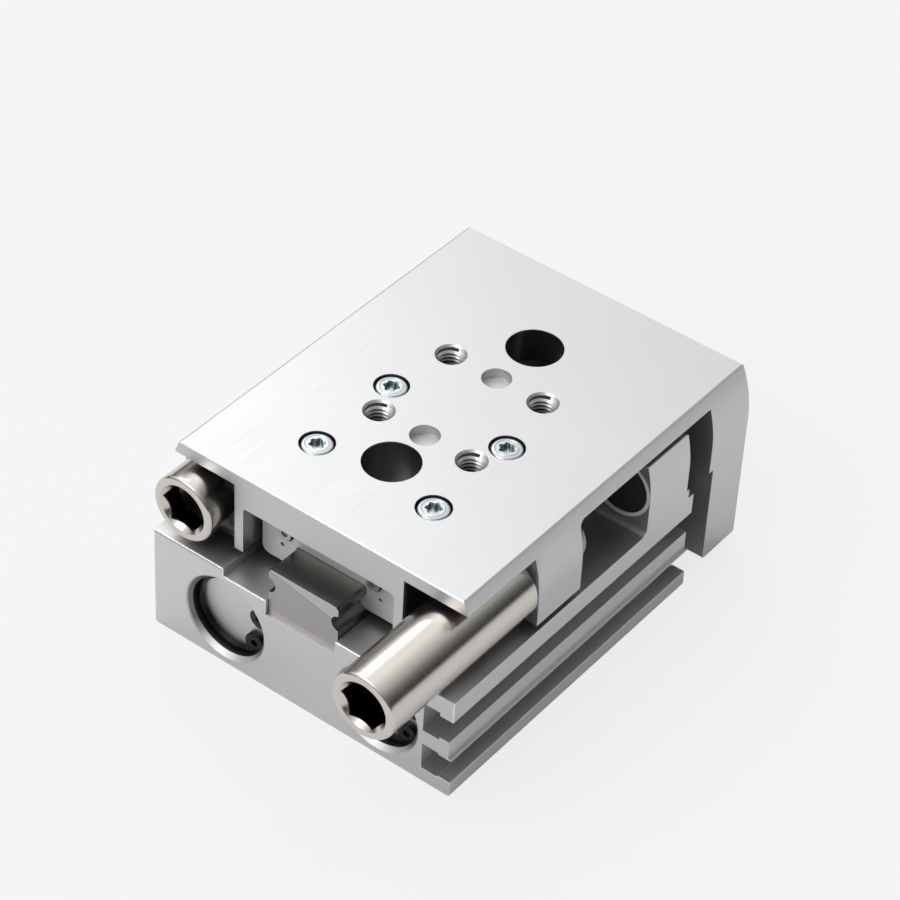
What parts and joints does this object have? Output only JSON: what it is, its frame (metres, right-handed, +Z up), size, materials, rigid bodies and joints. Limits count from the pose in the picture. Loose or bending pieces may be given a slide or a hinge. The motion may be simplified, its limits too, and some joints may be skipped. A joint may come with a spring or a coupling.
{
  "type": "pneumatic slide table",
  "caption": "Compact pneumatic slide table: a housing with twin cylinders and a rail guide carries a drilled table with a front yoke and adjustable end stops.",
  "frame": {"origin": "on the mounting face, on the mid-plane, below the front edge of the table at rest", "axes": "+X towards the yoke, the way the table extends; +Y to the left, the side with the air ports; +Z up through the table"},
  "size_m": [0.1002, 0.0654, 0.04],
  "materials": {
    "anodised_aluminium": "satin anodised, fine brushed",
    "cap_aluminium": "turned",
    "rail_steel": "ground",
    "nickel_steel": "nickel plated, turned",
    "zinc_steel": "bright zinc",
    "dark_steel": "black oxide",
    "rod_chrome": "hard chromed",
    "block_plastic": "moulded",
    "seal_plate": "moulded",
    "seal_rubber": "matt",
    "magnet_plastic": "matt",
    "bush_bronze": "sintered"
  },
  "bodies": {
    "housing": {"housing": "anodised_aluminium", "guide_rail": "rail_steel", "rail_screws": "dark_steel", "head_cap_left": "cap_aluminium", "head_cap_right": "cap_aluminium", "head_cap_seals": "seal_rubber", "retaining_ring_left": "dark_steel", "retaining_ring_right": "dark_steel", "rod_bushes": "bush_bronze", "rod_seals": "seal_rubber", "rod_seal_retainers": "cap_aluminium", "retraction_stop_sleeve": "nickel_steel", "extension_stop_seat": "zinc_steel", "extension_bumper": "seal_rubber"},
    "table": {"table": "anodised_aluminium", "guide_block": "rail_steel", "end_cap_front": "block_plastic", "end_cap_rear": "block_plastic", "end_seal_front": "seal_plate", "end_seal_rear": "seal_plate", "end_cap_screws": "zinc_steel", "block_screws": "zinc_steel", "ball_row_left": "zinc_steel", "ball_row_right": "zinc_steel", "piston_rod_left": "rod_chrome", "piston_rod_right": "rod_chrome", "piston_left": "cap_aluminium", "piston_right": "cap_aluminium", "piston_seals": "seal_rubber", "piston_magnets": "magnet_plastic", "rod_screws": "dark_steel", "extension_stop_sleeve": "nickel_steel"},
    "extension_adjuster": {"extension_stop_screw": "nickel_steel"},
    "retraction_adjuster": {"retraction_stop_screw": "nickel_steel"}
  },
  "joints": [
    {"name": "table_slide", "type": "slide", "parent": "housing", "child": "table", "axis": [1, 0, 0], "range_m": [0, 0.0156]},
    {"name": "extension_adjustment", "type": "slide", "parent": "table", "child": "extension_adjuster", "axis": [1, 0, 0], "range_m": [-0.004, 0]},
    {"name": "retraction_adjustment", "type": "slide", "parent": "housing", "child": "retraction_adjuster", "axis": [1, 0, 0], "range_m": [-0.004, 0]}
  ]
}
